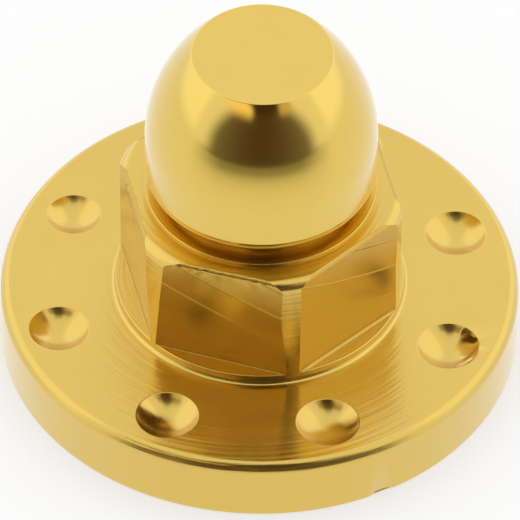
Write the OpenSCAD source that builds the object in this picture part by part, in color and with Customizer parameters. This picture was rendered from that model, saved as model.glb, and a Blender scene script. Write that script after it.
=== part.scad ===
// Flanged cap nut: one turned and milled piece of gold anodised aluminium.
// It stands on its flange. The origin is the centre of the flange's seating face and +Z is up.
// Every length is in millimetres and every angle in degrees.

/* [Flange] */
// Diameter of the round flange
flange_d = 20; // [17:0.5:30]
// Thickness of the flange
flange_t = 2.65; // [1.8:0.05:6]
// Radius of the flange's top edge
rim_r = 0.36; // [0.1:0.02:0.6]
// Chamfer of the edge round the seating face
seat_chamfer = 0.1; // [0.05:0.05:0.6]

/* [Dimples] */
// Number of dimples in the flange
dimple_count = 8; // [3:1:10]
// Diameter of a dimple at the flange's face
dimple_d = 2.45; // [1:0.05:2.8]
// Depth of a dimple at its middle
dimple_depth = 0.58; // [0.2:0.02:1]
// Land between a dimple and the flange's outer wall
dimple_land = 0.68; // [0.5:0.02:1.4]
// Turn of the first dimple about the axis
dimple_turn = 19; // [0:1:45]

/* [Hexagon] */
// Width across the flats
hex_af = 9.9; // [9.6:0.1:11]
// Height of the hexagon above the flange
hex_h = 5.23; // [4:0.01:9]
// Length that the round stock leaves off each sharp corner
corner_trim = 0.14; // [0.04:0.02:0.4]
// Height of the round ledge that the milled flats stop at
ledge_h = 0.38; // [0.1:0.02:1]
// Radius turned on the boss's top edge, which the hexagon's corners keep
corner_r = 0.42; // [0.34:0.02:0.6]
// Radius of each flat's top edge
flat_edge_r = 0.3; // [0.06:0.02:0.32]
// Fillet between the round ledge and the flange
foot_fillet = 0.15; // [0.05:0.01:0.3]
// Turn of the first flat about the axis
hex_turn = 12.8; // [0:0.1:60]

/* [Cap] */
// Diameter of the cap's straight band
cap_d = 8.9; // [8.3:0.1:9.2]
// Height of the straight band
band_h = 1.36; // [0.5:0.02:3]
// Radius of the cap's undercut foot
cap_foot_r = 0.75; // [0.6:0.05:1.5]
// Height of the land, of the cap's diameter, that facing the hexagon leaves under the cap
land_h = 0.1; // [0.04:0.02:0.4]
// Gap between the cap's foot and that land
foot_gap = 0.36; // [0.06:0.02:0.6]
// Height of the ogive above the straight band
ogive_h = 4.35; // [3:0.05:8]
// Diameter of the flat crown
crown_d = 5.4; // [3:0.1:7]

/* [Thread] */
// Nominal diameter of the internal thread
thread_d = 6; // [3:0.5:6]
// Pitch of the thread
thread_pitch = 1; // [0.5:0.05:1.2]
// Depth of the tapped bore at its full diameter
bore_depth = 7.6; // [4:0.1:7.6]
// Point angle of the drill that leaves the bore's blind end
drill_angle = 118; // [90:1:140]
// Clearance of the countersunk mouth round the thread
mouth_clear = 0.15; // [0.05:0.05:0.5]

/* [Hidden] */

// How far a cutter runs past the face it starts from
over = 1;
flange_r = flange_d / 2;
dimple_r = dimple_d / 2;
dimple_pitch_r = flange_r - dimple_land - dimple_r;
dimple_sphere_r = (dimple_r * dimple_r + dimple_depth * dimple_depth) / (2 * dimple_depth);

// The hexagon is milled from a round boss, which trims its corners
boss_r = hex_af / sqrt(3) - corner_trim;
hex_top_z = flange_t + hex_h;

cap_r = cap_d / 2;
neck_r = cap_r - cap_foot_r;
land_z = hex_top_z + land_h;
band_z = land_z + foot_gap + cap_foot_r;
ogive_z = band_z + band_h;
crown_r = crown_d / 2;
crown_z = ogive_z + ogive_h;
// The ogive's arc leaves the band upright and passes through the crown's edge
ogive_in = cap_r - crown_r;
ogive_r = (ogive_h * ogive_h + ogive_in * ogive_in) / (2 * ogive_in);

tap_r = (thread_d - thread_pitch) / 2;
mouth_r = thread_d / 2 + mouth_clear;
point_h = tap_r / tan(drill_angle / 2);

// Smoothness of the round faces
$fn = 96;

// Half section of the flange, with its round top edge and chamfered seating edge
module flange_section() {
    difference() {
        square([flange_r, flange_t]);
        difference() {
            translate([flange_r - rim_r, flange_t - rim_r])
                square(rim_r + over);
            translate([flange_r - rim_r, flange_t - rim_r])
                circle(rim_r);
        }
        translate([flange_r, 0])
            rotate(45)
                square(seat_chamfer * sqrt(2), center = true);
    }
}

// Half section of the ledge that is left round, with its fillet onto the flange
module ledge_section() {
    translate([0, flange_t - foot_fillet])
        square([boss_r, ledge_h + foot_fillet]);
    difference() {
        translate([boss_r - over, flange_t - foot_fillet])
            square([foot_fillet + over, 2 * foot_fillet]);
        translate([boss_r + foot_fillet, flange_t + foot_fillet])
            circle(foot_fillet);
    }
}

// Half section of the boss as it is turned, before the flats are milled
module boss_section() {
    difference() {
        translate([0, flange_t])
            square([boss_r, hex_h]);
        difference() {
            translate([boss_r - corner_r, hex_top_z - corner_r])
                square(corner_r + over);
            translate([boss_r - corner_r, hex_top_z - corner_r])
                circle(corner_r);
        }
    }
}

// Section across two opposite flats, with the round edge that each has at its top
module flats_section() {
    straight_h = hex_h - flat_edge_r;
    translate([-hex_af / 2, 0])
        square([hex_af, straight_h]);
    translate([flat_edge_r - hex_af / 2, 0])
        square([hex_af - 2 * flat_edge_r, hex_h]);
    for (side = [-1, 1])
        translate([side * (hex_af / 2 - flat_edge_r), straight_h])
            circle(flat_edge_r);
}

// The material that three passes across the flats leave
module flats() {
    intersection_for (turn = [0, 60, 120])
        rotate(hex_turn + turn)
            translate([0, boss_r + over, flange_t])
                rotate([90, 0, 0])
                    linear_extrude(2 * (boss_r + over))
                        flats_section();
}

// The hexagon: the turned boss, milled flat on six sides
module hexagon() {
    intersection() {
        rotate_extrude()
            boss_section();
        flats();
    }
}

// Half section of the cap: land, neck, undercut foot, straight band, ogive and flat crown
module cap_section() {
    translate([0, hex_top_z - over])
        square([cap_r, land_h + over]);
    translate([0, land_z - over])
        square([neck_r, band_z - land_z + over]);
    intersection() {
        translate([neck_r, band_z])
            circle(cap_foot_r);
        translate([neck_r - over, band_z - cap_foot_r])
            square([cap_foot_r + over, cap_foot_r]);
    }
    translate([0, band_z])
        square([cap_r, band_h]);
    intersection() {
        translate([cap_r - ogive_r, ogive_z])
            circle(ogive_r);
        translate([0, ogive_z])
            square([cap_r, ogive_h]);
    }
}

// The tapped bore at its drilled size, with its drill point and countersunk mouth
module bore() {
    translate([0, 0, -over])
        cylinder(h = bore_depth + over, r = tap_r);
    translate([0, 0, bore_depth])
        cylinder(h = point_h, r1 = tap_r, r2 = 0);
    translate([0, 0, -over])
        cylinder(h = mouth_r + over, r1 = mouth_r + over, r2 = 0);
}

// One dimple, as the ball-nosed cutter leaves it
module dimple() {
    translate([dimple_pitch_r, 0, flange_t - dimple_depth + dimple_sphere_r])
        sphere(dimple_sphere_r);
}

module cap_nut() {
    color("#d9ae3c")
        difference() {
            union() {
                rotate_extrude()
                    union() {
                        flange_section();
                        ledge_section();
                    }
                hexagon();
                rotate_extrude()
                    cap_section();
            }
            bore();
            for (i = [0 : dimple_count - 1])
                rotate(dimple_turn + i * 360 / dimple_count)
                    dimple();
        }
}

cap_nut();
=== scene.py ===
# A flanged collar nut with a polished cap, turned and milled from one bar of aluminium and
# anodised gold. The origin is the centre of its seating face and +Z is up. Lengths are written
# in millimetres and turned to metres where the mesh is made.

import math

import bmesh
import bpy
import numpy as np
from mathutils import Matrix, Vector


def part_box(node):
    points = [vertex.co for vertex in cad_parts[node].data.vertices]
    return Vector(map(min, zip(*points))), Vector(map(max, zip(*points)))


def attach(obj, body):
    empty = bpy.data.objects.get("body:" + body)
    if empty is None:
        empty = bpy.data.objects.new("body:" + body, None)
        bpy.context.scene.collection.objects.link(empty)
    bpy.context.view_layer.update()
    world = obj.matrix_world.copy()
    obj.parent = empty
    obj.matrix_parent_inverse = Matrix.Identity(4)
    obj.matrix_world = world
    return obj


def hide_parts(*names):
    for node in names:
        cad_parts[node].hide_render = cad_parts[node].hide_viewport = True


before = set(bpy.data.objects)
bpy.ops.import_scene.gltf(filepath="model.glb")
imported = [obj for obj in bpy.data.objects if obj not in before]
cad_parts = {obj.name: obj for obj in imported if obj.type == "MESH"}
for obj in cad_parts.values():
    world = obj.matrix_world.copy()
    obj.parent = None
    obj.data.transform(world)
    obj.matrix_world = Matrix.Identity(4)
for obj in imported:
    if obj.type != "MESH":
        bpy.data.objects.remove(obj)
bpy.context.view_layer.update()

# ---- The flange ---------------------------------------------------------------------------
# A disc of gold-anodised aluminium, turned from the bar and faced on top and underneath. A form
# tool rounds its top edge, its seating edge is chamfered, and a light tumble breaks the rest.

mm = 0.001
top_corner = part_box("cap_nut")[1]
flange_r = round(top_corner.x / mm, 3)
nut_h = round(top_corner.z / mm, 3)
flange_t = 2.65
seat_chamfer = 0.1
broken_edge = 0.03
# The seating face ends at the bore's countersunk mouth
mouth_r = 3.15
# The top face ends at the foot of the hexagon, which is milled from a round boss
hex_af, corner_trim, foot_fillet = 9.9, 0.14, 0.15
boss_r = hex_af / math.sqrt(3) - corner_trim


def colour(text):
    """Turns an sRGB hex value to linear."""
    parts = [int(text[k:k + 2], 16) / 255 for k in (1, 3, 5)]
    return (*[c / 12.92 if c <= 0.04045 else ((c + 0.055) / 1.055) ** 2.4 for c in parts], 1)


def node(tree, kind, settings=(), **links):
    """Adds a node, sets its properties and inputs, and links the outputs that it is given.
    An input is named, or numbered after an underscore."""
    made = tree.nodes.new(kind)
    for name, value in dict(settings).items():
        setattr(made, name, value)
    for name, value in links.items():
        numbered = name[0] == "_" and name[1:].isdigit()
        name = int(name[1:]) if numbered else name.replace("_", " ")
        if isinstance(value, bpy.types.NodeSocket):
            tree.links.new(value, made.inputs[name])
        else:
            made.inputs[name].default_value = value
    return made


finishes = []


def gold_anodised(name, deep, pale, roughness, marks, mark_mm, mark_depth, anisotropy=0.0,
                  film=1.0, pass_mm=None, flats_apart=None):
    """Adds one of the nut's finishes and gives its number: gold-dyed anodised aluminium with
    the marks that one way of cutting leaves. They run round the nut's axis where it is turned,
    and elsewhere across the direction that the mesh carries. The dyed oxide film is clear and
    thin, so the eye sees bright metal tinted gold that whitens at grazing angles."""
    oxide_ior = 1.6
    # The marks stray a little on their way, and tint and gloss drift in clouds about 1.4 mm
    # across. Most of a cloud's values lie between the two that are given.
    stray, cloud_per_mm, cloud_low, cloud_high, gloss_spread = 0.05, 0.7, 0.3, 0.7, 0.15
    material = bpy.data.materials.new(name)
    material.use_nodes = True
    tree = material.node_tree
    tree.nodes.clear()
    place = node(tree, "ShaderNodeTexCoord").outputs["Object"]
    millimetres = node(tree, "ShaderNodeVectorMath", {"operation": "SCALE"},
                       _0=place, Scale=1 / mm).outputs[0]
    drift = node(tree, "ShaderNodeVectorMath", {"operation": "SCALE"},
                 _0=millimetres, Scale=stray).outputs[0]
    if marks == "turned":
        parts = node(tree, "ShaderNodeSeparateXYZ", _0=millimetres)
        level = node(tree, "ShaderNodeCombineXYZ", X=parts.outputs[0], Y=parts.outputs[1])
        radius = node(tree, "ShaderNodeVectorMath", {"operation": "LENGTH"}, _0=level.outputs[0])
        ruled = node(tree, "ShaderNodeCombineXYZ",
                     X=radius.outputs["Value"], Z=parts.outputs[2])
        tangent = node(tree, "ShaderNodeTangent",
                       {"direction_type": "RADIAL", "axis": "Z"}).outputs[0]
    else:
        carried = node(tree, "ShaderNodeAttribute", {"attribute_name": "mark"})
        ruled = node(tree, "ShaderNodeCombineXYZ", X=carried.outputs["Fac"])
        tangent = node(tree, "ShaderNodeAttribute",
                       {"attribute_name": "across"}).outputs["Vector"]
    along = node(tree, "ShaderNodeVectorMath", {"operation": "ADD"},
                 _0=ruled.outputs[0], _1=drift)
    grooves = node(tree, "ShaderNodeTexNoise", Vector=along.outputs[0],
                   Scale=1 / mark_mm, Detail=3.0, Roughness=0.65)
    clouds = node(tree, "ShaderNodeTexNoise", Vector=millimetres,
                  Scale=cloud_per_mm, Detail=3.0)
    gloss = node(tree, "ShaderNodeMapRange", Value=clouds.outputs["Fac"],
                 From_Min=cloud_low, From_Max=cloud_high,
                 To_Min=roughness * (1 - gloss_spread), To_Max=roughness * (1 + gloss_spread))
    tint = node(tree, "ShaderNodeMix", {"data_type": "RGBA"}, Factor=clouds.outputs["Fac"],
                _6=colour(deep), _7=colour(pale))
    height = grooves.outputs["Fac"]
    if pass_mm:
        # A ridge stands where one pass of the cutter met the next, and fades from pass to pass
        ridge_half, ridge_rise, fade_from, fade_to = 0.06, 8.0, 0.2, 2.2
        off_pass = node(tree, "ShaderNodeMath", {"operation": "PINGPONG"},
                        _0=carried.outputs["Fac"], _1=pass_mm / 2)
        off_first = node(tree, "ShaderNodeMath", {"operation": "PINGPONG"},
                         _0=carried.outputs["Fac"], _1=flats_apart / 2)
        strength = node(tree, "ShaderNodeMapRange", Value=off_first.outputs[0],
                        From_Min=fade_from, From_Max=fade_to, To_Min=ridge_rise, To_Max=0.0)
        ridge = node(tree, "ShaderNodeMapRange", {"interpolation_type": "SMOOTHSTEP"},
                     Value=off_pass.outputs[0], From_Min=ridge_half, From_Max=0.0,
                     To_Max=strength.outputs[0])
        height = node(tree, "ShaderNodeMath", {"operation": "ADD"},
                      _0=height, _1=ridge.outputs[0]).outputs[0]
    bump = node(tree, "ShaderNodeBump", Strength=1.0, Distance=mark_depth * mm, Height=height)
    shader = node(tree, "ShaderNodeBsdfPrincipled", Base_Color=tint.outputs[2], Metallic=1.0,
                  Roughness=gloss.outputs[0], Anisotropic=anisotropy, Tangent=tangent,
                  Anisotropic_Rotation=0.25 if marks == "turned" else 0.0,
                  Normal=bump.outputs[0], Coat_Weight=film, Coat_Roughness=roughness,
                  Coat_IOR=oxide_ior)
    node(tree, "ShaderNodeOutputMaterial", Surface=shader.outputs[0])
    finishes.append(material)
    return len(finishes) - 1


# A lathe tool feeds about 0.08 mm a turn and leaves fine rings, which draw each reflection out
# towards and away from the axis. They are drawn 0.25 mm apart, coarser and deeper than real,
# so that they show.
TURNED = gold_anodised("anodised_aluminium_turned", "#dcba4b", "#e0be53", roughness=0.21,
                       marks="turned", mark_mm=0.25, mark_depth=0.018, anisotropy=0.7)

# The nut's skin grows patch by patch, and is joined when all of its faces are made
skin = {"points": [], "normals": [], "faces": [], "finishes": [], "across": [], "marks": []}


def add(points, normals, faces, finish, across=None, marks=None):
    """Adds points with the surface's own normals, and faces between them, to the skin. The
    direction across the cutter's marks, and the distance along it, may come with them."""
    faces = faces + sum(len(block) for block in skin["points"])
    across = np.zeros((len(points), 3)) if across is None else across.reshape(-1, 3)
    marks = np.zeros(len(points)) if marks is None else marks.ravel()
    finish = np.full(len(faces), finish)
    for part, block in zip(skin, (points, normals, faces, finish, across, marks)):
        skin[part].append(block)


def lay(points, normals, finish, closed=True, across=None, marks=None):
    """Lays a grid of faces over rows of points; a closed one joins its last column to its
    first."""
    rows, columns = points.shape[:2]
    number = np.arange(rows * columns).reshape(rows, columns)
    ahead = np.roll(number, -1, axis=1)
    if not closed:
        number, ahead = number[:, :-1], ahead[:, :-1]
    quads = np.stack([number[:-1], ahead[:-1], ahead[1:], number[1:]], axis=-1)
    add(points.reshape(-1, 3), normals.reshape(-1, 3), quads.reshape(-1, 4), finish,
        across, marks)


def arc(centre_r, centre_z, radius, start, end, steps):
    """Profile points round an arc, with normals that face out of the metal."""
    angles = np.radians(np.linspace(start, end, steps + 1))
    side = 1 if end > start else -1
    return np.column_stack([centre_r + radius * np.cos(angles),
                            centre_z + radius * np.sin(angles),
                            side * np.cos(angles), side * np.sin(angles)])


def profile(corners):
    """Profile through corners (r, z, edge radius), walked with the metal on the left. A round
    edge gets a point for every few degrees of its bend."""
    facet, straight = 7, 1e-6
    corners = [np.array(corner, float) for corner in corners]
    rows = []
    for i, corner in enumerate(corners):
        here, edge_r = corner[:2], corner[2]
        ahead = corners[i + 1][:2] - here if i + 1 < len(corners) else here - corners[i - 1][:2]
        behind = here - corners[i - 1][:2] if i else ahead
        ahead, behind = ahead / np.hypot(*ahead), behind / np.hypot(*behind)
        bend = math.atan2(behind[0] * ahead[1] - behind[1] * ahead[0], behind @ ahead)
        if edge_r == 0 or abs(bend) < straight:
            rows.append([[*here, behind[1], -behind[0]], [*here, ahead[1], -ahead[0]]])
            continue
        side = 1 if bend > 0 else -1
        start = here - edge_r * math.tan(abs(bend) / 2) * behind
        middle = start + side * edge_r * np.array([-behind[1], behind[0]])
        first = math.degrees(math.atan2(*(start - middle)[::-1]))
        bend = math.degrees(bend)
        rows.append(arc(*middle, edge_r, first, first + bend, max(3, round(abs(bend) / facet))))
    return np.vstack(rows)


def turn(section, angles, centre=(0, 0), finish=TURNED):
    """Turns a profile about an upright axis through centre."""
    r, z, facing_r, facing_z = (section[:, k, None] for k in range(4))
    c, s = np.cos(angles)[None], np.sin(angles)[None]
    level = np.ones_like(c)
    lay(np.stack([centre[0] + r * c, centre[1] + r * s, z * level], axis=-1),
        np.stack([facing_r * c, facing_r * s, facing_z * level], axis=-1), finish,
        across=np.stack([facing_z * c, facing_z * s, -facing_r * level], axis=-1),
        marks=r * level)


# The form tool leaves two arcs, with a narrow flat between them that leans in by 30 degrees
rim_r, rim_flat, rim_lean = 0.32, 0.1, math.radians(30)
lower_reach, upper_reach = (rim_r * math.tan(bend / 2)
                            for bend in (rim_lean, math.pi / 2 - rim_lean))
rim_run = lower_reach + rim_flat + upper_reach
rim_in = rim_run * math.sin(rim_lean)
face_r = flange_r - rim_in - upper_reach
rim_around = np.linspace(0, 2 * math.pi, 360, endpoint=False)
turn(profile([(mouth_r, 0, 0), (flange_r - seat_chamfer, 0, broken_edge),
              (flange_r, seat_chamfer, broken_edge),
              (flange_r, flange_t - rim_run * math.cos(rim_lean), rim_r),
              (flange_r - rim_in, flange_t, rim_r), (face_r, flange_t, 0)]), rim_around)

# The foot of the hexagon has the columns of the faces above it, so that all its seams meet
flat_half = math.acos(hex_af / 2 / boss_r)
hex_turn = math.radians(12.8)
flat_steps = np.linspace(-1, 1, 45)
corner_steps = np.linspace(0, 1, 7)
one_side = np.concatenate([flat_half * flat_steps[:-1],
                           flat_half + (math.pi / 3 - 2 * flat_half) * corner_steps[:-1]])
around = np.concatenate([hex_turn + side * math.pi / 3 + one_side for side in range(6)])

# ---- The dimples --------------------------------------------------------------------------
# Eight spherical pockets, sunk into the aluminium of the flange's top face with a ball-nosed
# cutter. Their edges are only broken, so they read as crisp rings.

# The cutter's marks are rings of about 0.05 mm in each pocket, too faint to see one by one.
# They are drawn 0.15 mm apart, coarser than real, and soften each reflection across them.
BALL_CUT = gold_anodised("anodised_aluminium_ball_cut", "#dcba4b", "#e0be53", roughness=0.22,
                         marks="ball-cut", mark_mm=0.15, mark_depth=0.004, anisotropy=0.7)
# Each pocket's turn about the axis, its distance from it, its radius and its depth
dimples = [(19.2, 8.02, 1.18, 0.50), (64, 8.09, 1.18, 0.50), (109, 8.09, 1.18, 0.50),
           (154.9, 8.00, 1.05, 0.41), (199.9, 8.17, 1.16, 0.49), (244.7, 8.08, 1.19, 0.53),
           (289.4, 8.02, 1.21, 0.53), (334.6, 8.06, 1.20, 0.50)]
dimple_edge = 0.06
edge_rows, bowl_rows = 6, 18
dimple_around = np.linspace(0, 2 * math.pi, 64, endpoint=False)
mouths = []
for turned, pitch_r, dimple_r, depth in dimples:
    centre = (pitch_r * math.cos(math.radians(turned)), pitch_r * math.sin(math.radians(turned)))
    sphere_r = (dimple_r ** 2 + depth ** 2) / (2 * depth)
    rise = sphere_r - depth
    edge_at = math.sqrt((sphere_r + dimple_edge) ** 2 - (rise + dimple_edge) ** 2)
    edge_turn = math.degrees(math.atan2(rise + dimple_edge, -edge_at))
    bowl = np.vstack([
        arc(edge_at, flange_t - dimple_edge, dimple_edge, 90, edge_turn, edge_rows),
        arc(0, flange_t + rise, sphere_r, edge_turn - 180, -90, bowl_rows)])
    bowl[:, 0] = np.maximum(bowl[:, 0], 0)
    turn(bowl, dimple_around, centre, BALL_CUT)
    mouths.append((edge_at, dimple_around, centre))

# The flange's top face lies between its rim, the dimples and the foot of the hexagon
face = bmesh.new()
rings = [(face_r, rim_around, (0, 0)), (boss_r + foot_fillet, around, (0, 0))] + mouths
for radius, angles, (x, y) in rings:
    ring = [face.verts.new((x + radius * math.cos(a), y + radius * math.sin(a), 0))
            for a in angles]
    for here, ahead in zip(ring, ring[1:] + ring[:1]):
        face.edges.new((here, ahead))
bmesh.ops.triangle_fill(face, use_beauty=True, edges=face.edges[:])
face.verts.index_update()
spots = np.array([(v.co.x, v.co.y, flange_t) for v in face.verts])
corners = np.array([[v.index for v in f.verts] for f in face.faces])
face.free()
first, second, third = (spots[corners[:, k]] for k in range(3))
face_down = np.cross(second - first, third - first)[:, 2] < 0
corners[face_down] = corners[face_down][:, ::-1]
add(spots, np.tile([0.0, 0, 1], (len(spots), 1)), corners, TURNED)

# ---- The hexagon --------------------------------------------------------------------------
# Six flats, milled on a round boss of the same bar of aluminium. The cutter stops short of the
# flange, so a thin round ledge is left under each flat, and the corners keep the turned face.

# The cutter crosses a flat in passes 1.33 mm apart, and its tooth marks are about 0.05 mm apart.
# They are drawn 0.12 mm apart to show. They draw each reflection out across the sweep and break
# up the film's gloss. The flats' gold is painted deeper than a turned face's, as painted shade.
pass_mm = 1.33
# A flat's marks start 30 passes after those of the flat before, so that no two flats are alike
flats_apart = 30 * pass_mm
# Its tint, darker than the turned gold, is painted shade on the flats
MILLED_AND_SHADED = gold_anodised("anodised_aluminium_milled_and_painted_shade", "#c8a33c", "#cca744", roughness=0.22,
                       marks="milled", mark_mm=0.12, mark_depth=0.002, anisotropy=0.6, film=0.6,
                       pass_mm=pass_mm, flats_apart=flats_apart)

ledge_h, hex_h, cap_r = 0.38, 5.23, 4.45
ledge_z, hex_top_z = flange_t + ledge_h, flange_t + hex_h
ledge_edge, flat_edge_r, corner_r = 0.04, 0.15, 0.42
flat_d = hex_af / 2
# The fillet at a flat's foot and the ledge's broken edge each take up to this share of the ledge
ledge_room = 0.8
foot_rows, fillet_rows, ledge_rows = 8, 6, 6
straight_rows, corner_rows, round_rows = 30, 15, 11
turn(arc(boss_r + foot_fillet, flange_t + foot_fillet, foot_fillet, -90, -180, foot_rows), around)


def edge_levels(radius, rows):
    """Heights up a rounded top edge, at even turns round it."""
    return hex_top_z - radius + radius * np.sin(np.radians(np.linspace(0, 90, rows)))


def edge_in(z, radius):
    """How far a rounded top edge has drawn in at height z, and the upright part of its normal."""
    rise = np.clip((z - (hex_top_z - radius)) / radius, 0, 1)
    return radius * (1 - np.sqrt(1 - rise ** 2)), rise


def about(points, angle):
    """Turns points or normals about the nut's axis."""
    c, s = math.cos(angle), math.sin(angle)
    return points @ np.array([[c, s, 0], [-s, c, 0], [0, 0, 1]])


def facing_of(points, outward):
    """Normals of a grid of points, on the side that outward points to."""
    normals = np.cross(np.gradient(points, axis=1), np.gradient(points, axis=0))
    normals /= np.maximum(np.linalg.norm(normals, axis=-1, keepdims=True), 1e-12)
    return normals * np.sign(normals @ outward)[..., None]


levels = np.concatenate([np.linspace(ledge_z, hex_top_z - corner_r, straight_rows),
                         edge_levels(corner_r, corner_rows)[1:],
                         edge_levels(flat_edge_r, round_rows)[:-1]])
levels = np.unique(np.round(levels, 7))
flat_in = edge_in(levels, flat_edge_r)[0]
corner_in, corner_rise = edge_in(levels, corner_r)
up = (levels - ledge_z) / (hex_top_z - ledge_z)

# How far each flat stands out at its foot and at its top, on its left and on its right. The
# first flat faces 12.8 degrees, and left and right are as seen from outside.
leans = [((0, 0.03), (0, 0.12)), ((0, 0.03), (0, 0.12)), ((0, 0.05), (0, 0.14)),
         ((-0.03, 0.05), (-0.12, 0.16)), ((-0.03, 0.16), (-0.05, 0.15)), ((0.04, 0.05), (0, 0.11))]
# The cutter sweeps arcs about a far centre, and the part nearest to that centre leans back
sweep_u, sweep_z, sweep_lean, sweep_blend = 11.6, 34.45, 0.06, 0.05
sweep_r = [30.0, 30.0, 30.0, 30.0, 29.8, 30.3]
# The burr along each flat's top edge, where the cutter ran out, as waves of unlike pace
burr = [0.005, 0.005, 0.02, 0.03, 0.014, 0.004]
burr_paces, burr_shift, burr_share = (5.0, 11.0, 19.0, 31.0), 2.3, 0.1
# The radius of each flat's foot, and the share of the flat's height over which its rows give way
flat_foot_r = [0.04, 0.04, 0.04, 0.05, 0.04, 0.12]
foot_share = 0.12


def flat_distance(side, steps):
    """How far a flat is from the nut's axis at every level, in steps from its left (-1) to its
    right (1)."""
    side %= 6
    left, right = ((foot + (top - foot) * up - flat_in)[:, None] for foot, top in leans[side])
    share = (steps + 1) / 2
    swept = np.hypot(sweep_u - steps * boss_r / 2, sweep_z - levels[:, None]) - sweep_r[side]
    lean = sweep_lean / 2 * (np.sqrt(swept ** 2 + sweep_blend ** 2) - swept)
    ragged = sum(np.sin(steps * pace + burr_shift * side + pace) for pace in burr_paces) / 2
    ragged = burr[side] * ragged * (1 - steps ** 4)
    ragged = ragged * np.clip((up[:, None] - (1 - burr_share)) / burr_share, 0, 1)
    return flat_d + left * (1 - share) + right * share - lean + ragged


edge = boss_r - corner_in
outward = np.array([1.0, 0, 0.3])
feet, outline = [], []
for side in range(6):
    facing = hex_turn + side * math.pi / 3
    d = flat_distance(side, flat_steps)
    low, high = np.arccos(d[:, 0] / edge), np.arccos(d[:, -1] / edge)
    half = np.where(flat_steps < 0, low[:, None], high[:, None])
    points = np.stack([d, d * np.tan(half * flat_steps), levels[:, None] + 0 * d], axis=-1)
    # A small fillet is left at the flat's foot, as far as the ledge has room for it
    room = ledge_room * (boss_r * np.cos(half[0] * flat_steps) - d[0])
    fillet = np.clip(room, 0, flat_foot_r[side])
    rows = []
    for a in np.radians(np.linspace(-90, -180, fillet_rows + 1)[:-1]):
        row = points[0].copy()
        row[:, 0] += fillet * (1 + math.cos(a))
        row[:, 2] += fillet * (1 + math.sin(a))
        rows.append(row)
    points[..., 2] += np.clip(1 - up / foot_share, 0, 1)[:, None] * fillet
    points = np.concatenate([np.array(rows), points])
    # Its first and last columns keep to the corners, which have no fillet
    for column, turned in ((0, -low), (-1, high)):
        seam = np.stack([d[:, column], d[:, column] * np.tan(turned), levels], axis=-1)
        points[:, column] = np.concatenate([np.repeat(seam[:1], fillet_rows, axis=0), seam])
    normals = facing_of(points, outward)
    normals[-1] = (0, 0, 1)
    to_centre = np.stack([0 * points[..., 0], sweep_u - points[..., 1],
                          sweep_z - points[..., 2]], axis=-1)
    from_centre = np.linalg.norm(to_centre, axis=-1)
    lay(about(points, facing), about(normals, facing), MILLED_AND_SHADED, closed=False,
        across=about(to_centre / from_centre[..., None], facing),
        marks=from_centre - sweep_r[side] + flats_apart * side)
    feet.append(about(points[0, :-1], facing))
    outline.append(about(points[-1, :-1], facing))
    # The turned corner runs on to where the next flat starts
    stop = math.pi / 3 - np.arccos(flat_distance(side + 1, flat_steps[:1])[:, 0] / edge)
    angle = facing + high[:, None] + (stop - high)[:, None] * corner_steps
    level, rise = np.sqrt(1 - corner_rise ** 2)[:, None], corner_rise[:, None] + 0 * angle
    corner = np.stack([edge[:, None] * np.cos(angle), edge[:, None] * np.sin(angle),
                       levels[:, None] + 0 * angle], axis=-1)
    lay(corner, np.stack([level * np.cos(angle), level * np.sin(angle), rise], axis=-1),
        TURNED, closed=False)
    feet.append(corner[0, :-1])
    outline.append(corner[-1, :-1])
feet, outline = np.vstack(feet), np.vstack(outline)

# The ledge's edge is broken over each flat and runs out where the corners carry on upwards
ledge_in, turned = np.hypot(feet[:, 0], feet[:, 1]), np.arctan2(feet[:, 1], feet[:, 0])
broken = np.clip((boss_r - ledge_in) * ledge_room, 0, ledge_edge)
rows = [(boss_r + 0 * broken, flange_t + foot_fillet + 0 * broken, around, 0)]
rows += [(boss_r - broken * (1 - math.cos(a)), ledge_z - broken * (1 - math.sin(a)), turned, a)
         for a in np.radians(np.linspace(0, 90, ledge_rows))]
rows += [(ledge_in, ledge_z + 0 * broken, turned, math.pi / 2)]
lay(np.array([np.column_stack([r * np.cos(t), r * np.sin(t), z]) for r, z, t, _ in rows]),
    np.array([np.column_stack([math.cos(a) * np.cos(t), math.cos(a) * np.sin(t),
                               math.sin(a) + 0 * t]) for _, _, t, a in rows]), TURNED)

# The hexagon's top is faced flat, round the land that the cap stands on
land = np.column_stack([cap_r * np.cos(around), cap_r * np.sin(around), hex_top_z + 0 * around])
top = np.array([outline, land])
lay(top, np.zeros_like(top) + [0, 0, 1], TURNED)

# ---- The cap ------------------------------------------------------------------------------
# The closed end of the nut, turned from the same bar: a land, a narrow neck, an undercut foot,
# a straight band and an ogive up to a flat crown. It is buffed before it is anodised.

# A buff leaves next to no marks, so the cap mirrors sharply, and its gold is painted paler than
# the cut faces' as painted light. The faint haze of it is drawn 0.3 mm wide, coarser than real.
# Its tint, paler than the turned gold, is painted light on the cap
POLISHED_AND_LIT = gold_anodised("anodised_aluminium_polished_and_painted_light", "#e3c24f", "#e7c657", roughness=0.13,
                         marks="turned", mark_mm=0.3, mark_depth=0.0002)

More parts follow.
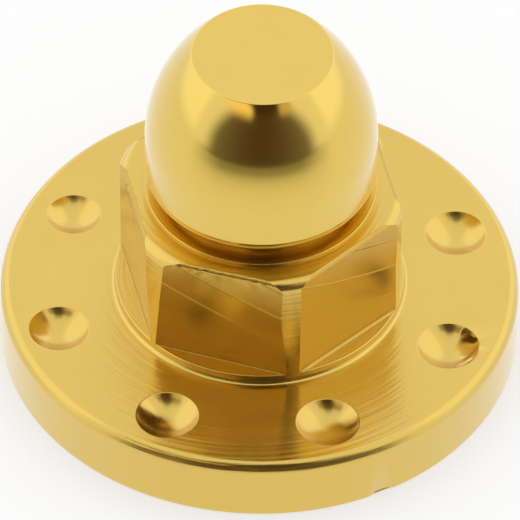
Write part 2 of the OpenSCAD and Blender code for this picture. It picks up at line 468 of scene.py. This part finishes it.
land_h, foot_gap, foot_r, band_h, ogive_h = 0.1, 0.36, 0.75, 1.36, 4.35
crown_r, crown_edge, crown_middle_r = 2.7, 0.08, 1.3
under_rows, ogive_rows, crown_rows = 24, 36, 8
neck_r = cap_r - foot_r
land_z = hex_top_z + land_h
foot_z = land_z + foot_gap
ogive_z = foot_z + foot_r + band_h
ogive_in = cap_r - crown_r
ogive_r = (ogive_h ** 2 + ogive_in ** 2) / (2 * ogive_in)
edge_z = nut_h - crown_edge
edge_r = cap_r - ogive_r + math.sqrt((ogive_r - crown_edge) ** 2 - (edge_z - ogive_z) ** 2)
edge_turn = math.degrees(math.atan2(edge_z - ogive_z, edge_r - cap_r + ogive_r))
turn(profile([(cap_r, hex_top_z, 0), (cap_r, land_z, broken_edge), (neck_r, land_z, 0),
              (neck_r, foot_z, 0)]), around)
turn(np.vstack([arc(neck_r, foot_z + foot_r, foot_r, -90, 0, under_rows),
                arc(cap_r - ogive_r, ogive_z, ogive_r, 0, edge_turn, ogive_rows),
                arc(edge_r, edge_z, crown_edge, edge_turn, 90, crown_rows)[1:],
                [[crown_middle_r, nut_h, 0, 1], [0, nut_h, 0, 1]]]), around, finish=POLISHED_AND_LIT)

# ---- The bore and its thread --------------------------------------------------------------
# A blind hole drilled up the bar with a 118 degree point, countersunk at the mouth and tapped
# M6 x 1. The tap's thread fades out before the end of the hole.

# A tap drags a little as it cuts, so the thread is duller than the turned faces. Its marks are
# drawn 0.1 mm apart, coarser than real.
TAPPED = gold_anodised("anodised_aluminium_tapped", "#dcba4b", "#e0be53", roughness=0.3,
                       marks="turned", mark_mm=0.1, mark_depth=0.002)

tap_r, root_r, pitch, bore_depth = 2.5, 3.0, 1.0, 7.6
drill_half, flank_half = math.radians(59), math.radians(30)
thread_end, thread_fade, point_tip_r = 7.0, 0.5, 0.001
thread_rows, thread_columns = 24, 72
# The columns stand half a degree off the seating face's, so that no two corners are welded there
thread_around = np.linspace(0, 2 * math.pi, thread_columns + 1) + math.radians(0.5)


def thread_radius(angle, z):
    """Radius of the tapped wall: flat crests, 60 degree flanks and narrow roots."""
    thread_h, root_half = root_r - tap_r, pitch / 16
    off_root = np.abs((z / pitch - angle / (2 * math.pi)) % 1 - 0.5) * pitch
    cut = np.clip(thread_h - (off_root - root_half) / math.tan(flank_half), 0, thread_h)
    cut *= np.clip((thread_end - z) / thread_fade, 0, 1)
    return np.maximum(tap_r + cut, mouth_r - z)


row, angle = np.meshgrid(np.arange(-thread_rows, (bore_depth / pitch + 1) * thread_rows + 1),
                         thread_around, indexing="ij")
z = np.clip(row / thread_rows * pitch + angle / (2 * math.pi) * pitch, 0, bore_depth)[::-1]
r = thread_radius(angle, z)
step = 1e-4
slope_z = (thread_radius(angle, z + step) - thread_radius(angle, z - step)) / (2 * step)
slope_a = (thread_radius(angle + step, z) - thread_radius(angle - step, z)) / (2 * step) / r
wall = np.stack([r * np.cos(angle), r * np.sin(angle), z], axis=-1)
facing = np.stack([-np.cos(angle) - slope_a * np.sin(angle),
                   -np.sin(angle) + slope_a * np.cos(angle), slope_z], axis=-1)
lay(wall, facing / np.linalg.norm(facing, axis=-1, keepdims=True), TAPPED, closed=False)
point_z = bore_depth + tap_r / math.tan(drill_half)
turn(profile([(point_tip_r, point_z, 0), (tap_r, bore_depth, 0)]), thread_around[:-1],
     finish=TAPPED)

# ---- The nut in one piece -----------------------------------------------------------------
# The nut is one piece of aluminium, so all its faces are joined into one skin. Each corner
# keeps its own normal, so that the cut edges stay crisp, and knocks in use have marked it.

points, facings = np.vstack(skin["points"]), np.vstack(skin["normals"])
weld = 2e-5


def press(start, end, width, depth):
    """Presses a mark into the skin along a short line; a negative depth raises a burr."""
    line, from_start = np.subtract(end, start), points - start
    share = np.clip(from_start @ line / (line @ line), 0, 1)[:, None]
    off = from_start - share * line
    sink = depth * np.exp(-(off ** 2).sum(axis=1, keepdims=True) / width ** 2)
    slope = -2 * off / width ** 2 * sink
    slope -= (slope * facings).sum(axis=1, keepdims=True) * facings
    points[:] = points - facings * sink
    facings[:] = facings + slope
    facings[:] = facings / np.maximum(np.linalg.norm(facings, axis=1, keepdims=True), 1e-9)


# A nick in the seating edge, and burrs that were dragged across one dimple
press((4.60, -8.88, 0.05), (4.95, -8.69, 0.05), width=0.2, depth=0.08)
press((7.72, -4.22, 2.38), (8.44, -3.60, 2.60), width=0.16, depth=-0.06)
press((7.96, -2.64, 2.53), (8.27, -2.94, 2.56), width=0.15, depth=-0.04)
faces = [list(map(int, f)) for block in skin["faces"] for f in block]
across, marks = np.vstack(skin["across"]), np.concatenate(skin["marks"])
finish_of = np.concatenate(skin["finishes"])
mesh = bpy.data.meshes.new("collar_nut")
mesh.from_pydata(points, [], faces)
work = bmesh.new()
work.from_mesh(mesh)
work.faces.ensure_lookup_table()
held = work.loops.layers.float_vector.new("facing")
held_across = work.loops.layers.float_vector.new("across")
held_mark = work.loops.layers.float.new("mark")
for f in work.faces:
    f.smooth = True
    f.material_index = int(finish_of[f.index])
    for corner in f.loops:
        corner[held] = facings[corner.vert.index]
        corner[held_across] = across[corner.vert.index]
        corner[held_mark] = marks[corner.vert.index]
bmesh.ops.remove_doubles(work, verts=work.verts[:], dist=weld)
work.to_mesh(mesh)
work.free()
kept = np.empty(len(mesh.loops) * 3)
mesh.attributes["facing"].data.foreach_get("vector", kept)
mesh.attributes.remove(mesh.attributes["facing"])
mesh.transform(Matrix.Scale(mm, 4))
mesh.normals_split_custom_set(kept.reshape(-1, 3))
nut = bpy.data.objects.new("collar_nut", mesh)
bpy.context.scene.collection.objects.link(nut)
for finish in finishes:
    mesh.materials.append(finish)
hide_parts("cap_nut")
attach(nut, "root")

# ---- The table ----------------------------------------------------------------------------
# A sheet of plain white matt board under the nut. Polished metal shows it white; towards the
# front the metal mirrors a painted shade on it, as if the card behind the camera's place shaded
# it.

scene = bpy.context.scene
table_half = 2.0
# Where the painted shade starts and where it is full: in the turn to the front, as the sine of
# that angle, and in metres from the nut's axis
shade_side, shade_away = (-0.35, -0.8), (0.01, 0.11)
table_mesh = bpy.data.meshes.new("table")
table_mesh.from_pydata([(-table_half, -table_half, 0), (table_half, -table_half, 0),
                        (table_half, table_half, 0), (-table_half, table_half, 0)],
                       [], [(0, 1, 2, 3)])
table = bpy.data.objects.new("table", table_mesh)
scene.collection.objects.link(table)
# The board scatters all light alike, and half of its white is its own, so its shadow is faint
own_white = 0.5
paper = bpy.data.materials.new("white_matt_board")
paper.use_nodes = True
tree = paper.node_tree
tree.nodes.clear()
matt = node(tree, "ShaderNodeBsdfDiffuse", Color=colour("#ffffff"))
plain = node(tree, "ShaderNodeEmission", Color=colour("#ffffff"), Strength=1.0)
seen = node(tree, "ShaderNodeMixShader", _0=own_white, _1=matt.outputs[0], _2=plain.outputs[0])
place = node(tree, "ShaderNodeTexCoord").outputs["Object"]
parts = node(tree, "ShaderNodeSeparateXYZ", _0=place)
reach = node(tree, "ShaderNodeVectorMath", {"operation": "LENGTH"}, _0=place).outputs["Value"]
front = node(tree, "ShaderNodeMath", {"operation": "DIVIDE"}, _0=parts.outputs[1], _1=reach)
ahead = node(tree, "ShaderNodeMapRange", Value=front.outputs[0], From_Min=shade_side[0],
             From_Max=shade_side[1])
away = node(tree, "ShaderNodeMapRange", {"interpolation_type": "SMOOTHSTEP"}, Value=reach,
            From_Min=shade_away[0], From_Max=shade_away[1])
shade = node(tree, "ShaderNodeMath", {"operation": "MULTIPLY"},
             _0=ahead.outputs[0], _1=away.outputs[0])
# The grey tone is painted shade, which only the metal's reflections see
mirrored = node(tree, "ShaderNodeMix", {"data_type": "RGBA"}, Factor=shade.outputs[0],
                _6=colour("#faf8f2"), _7=colour("#959581"))
glow = node(tree, "ShaderNodeEmission", Color=mirrored.outputs[2], Strength=1.0)
ray = node(tree, "ShaderNodeLightPath")
board = node(tree, "ShaderNodeMixShader", _0=ray.outputs["Is Glossy Ray"],
             _1=seen.outputs[0], _2=glow.outputs[0])
node(tree, "ShaderNodeOutputMaterial", Surface=board.outputs[0])
table_mesh.materials.append(paper)

# ---- The studio ---------------------------------------------------------------------------
# White walls all round give plain soft light. The cards and lamps are curved sheets round the
# nut that are only there to be mirrored: they light nothing and cast no shadow.

world = bpy.data.worlds.new("white_tent")
scene.world = world
world.use_nodes = True
world.node_tree.nodes["Background"].inputs["Color"].default_value = (1, 1, 1, 1)
world.node_tree.nodes["Background"].inputs["Strength"].default_value = 1.0


def card(name, west, east, low, shoulder, high, tone, soft=8.0, away=0.3, strength=1.0, thin=0.0):
    """A curved card round the nut between two azimuths, from a low elevation to a high one.
    Above its shoulder its sides draw in to a round top, and its edges are soft. It glows with
    its tone at the given strength, and thins out towards its sides."""
    columns, rows = 121, 81
    az, el = np.meshgrid(np.linspace(west - soft, east + soft, columns),
                         np.linspace(low - soft, high + soft, rows))
    spots = away * np.stack([np.cos(np.radians(el)) * np.cos(np.radians(az)),
                             np.cos(np.radians(el)) * np.sin(np.radians(az)),
                             np.sin(np.radians(el))], axis=-1)
    half, middle = (east - west) / 2, (east + west) / 2
    aside, above = (az - middle) / half, np.maximum(el - shoulder, 0) / (high - shoulder)
    within = half * (1 - np.hypot(aside, above))
    cover = 1 - thin * np.minimum(aside ** 2, 1)
    # An edge fades over its softness, half of it inside the card and half outside
    for reach in (within, el - low):
        share = np.clip(0.5 + reach / soft, 0, 1)
        cover = cover * share * share * (3 - 2 * share)
    number = np.arange(az.size).reshape(az.shape)
    quads = np.stack([number[:-1, :-1], number[1:, :-1], number[1:, 1:], number[:-1, 1:]],
                     axis=-1)
    mesh = bpy.data.meshes.new(name)
    mesh.from_pydata(spots.reshape(-1, 3), [], quads.reshape(-1, 4).tolist())
    held = mesh.attributes.new("cover", "FLOAT", "POINT")
    held.data.foreach_set("value", cover.ravel().astype(np.float32))
    sheet = bpy.data.objects.new(name, mesh)
    scene.collection.objects.link(sheet)
    sheet.visible_camera = sheet.visible_diffuse = sheet.visible_shadow = False
    sheet.visible_transmission = sheet.visible_volume_scatter = False
    paint = bpy.data.materials.new(name)
    paint.use_nodes = True
    tree = paint.node_tree
    tree.nodes.clear()
    tinted = node(tree, "ShaderNodeEmission", Color=colour(tone), Strength=strength)
    clear = node(tree, "ShaderNodeBsdfTransparent")
    share = node(tree, "ShaderNodeAttribute", {"attribute_name": "cover"})
    mixed = node(tree, "ShaderNodeMixShader", _0=share.outputs["Fac"],
                 _1=clear.outputs[0], _2=tinted.outputs[0])
    node(tree, "ShaderNodeOutputMaterial", Surface=mixed.outputs[0])
    mesh.materials.append(paint)


card("dark_card", -144, -36, -7, 10, 46, "#554539", soft=18, thin=0.18)
card("camera_front", -117, -65, 38, 64, 71, "#45342a", away=0.28, soft=5)
card("brown_shade", -152, -48, 44, 52, 62, "#7d6a59", away=0.29, soft=6)
card("warm_lamp_left", -144, -102, 35, 38, 46, "#ffe6ba", away=0.27, soft=9, strength=1.25)
card("warm_lamp_right", -65, -47, 35, 38, 44, "#ffe0ac", away=0.27, soft=6, strength=0.8)
card("soft_light_left", -255, -163, 6, 40, 66, "#ffffff", away=0.27, strength=1.2, soft=10)
card("soft_light_right", -17, 75, 6, 40, 66, "#ffffff", away=0.27, strength=1.2, soft=10)

# ---- The camera ---------------------------------------------------------------------------
# A long lens 0.4 m away looks down at the front of the nut from about 46 degrees. It is aimed
# a little above the middle of the flange's top face, and is held turned by under a degree.

lens = bpy.data.cameras.new("camera")
camera = bpy.data.objects.new("camera", lens)
scene.collection.objects.link(camera)
scene.camera = camera
lens.sensor_width = 36
lens.lens = 717.65
distance, height, roll = 0.4, math.radians(45.6582), 0.01255648
# The aim to the right and upwards, in pixels of the frame, as the lens's focal length is too
aim_right, aim_up, focal = -0.160, 19.061, 10366
pan, tilt = math.atan2(aim_right, focal), math.atan2(aim_up, focal)
look = np.array([0, math.cos(height), -math.sin(height)])
right = np.array([1.0, 0, 0])
up = np.array([0, math.sin(height), math.cos(height)])


def swing(one, other, angle):
    """Turns two square axes in their own plane: the first goes towards the second."""
    c, s = math.cos(angle), math.sin(angle)
    return one * c + other * s, other * c - one * s


right, look = swing(right, look, pan)
look, up = swing(look, up, tilt)
right, up = swing(right, up, roll)
at = np.array([0, -distance * math.cos(height), flange_t * mm + distance * math.sin(height)])
axes = [[right[k], up[k], -look[k], at[k]] for k in range(3)]
camera.matrix_world = Matrix(axes + [[0, 0, 0, 1]])

scene.view_settings.view_transform = "Standard"
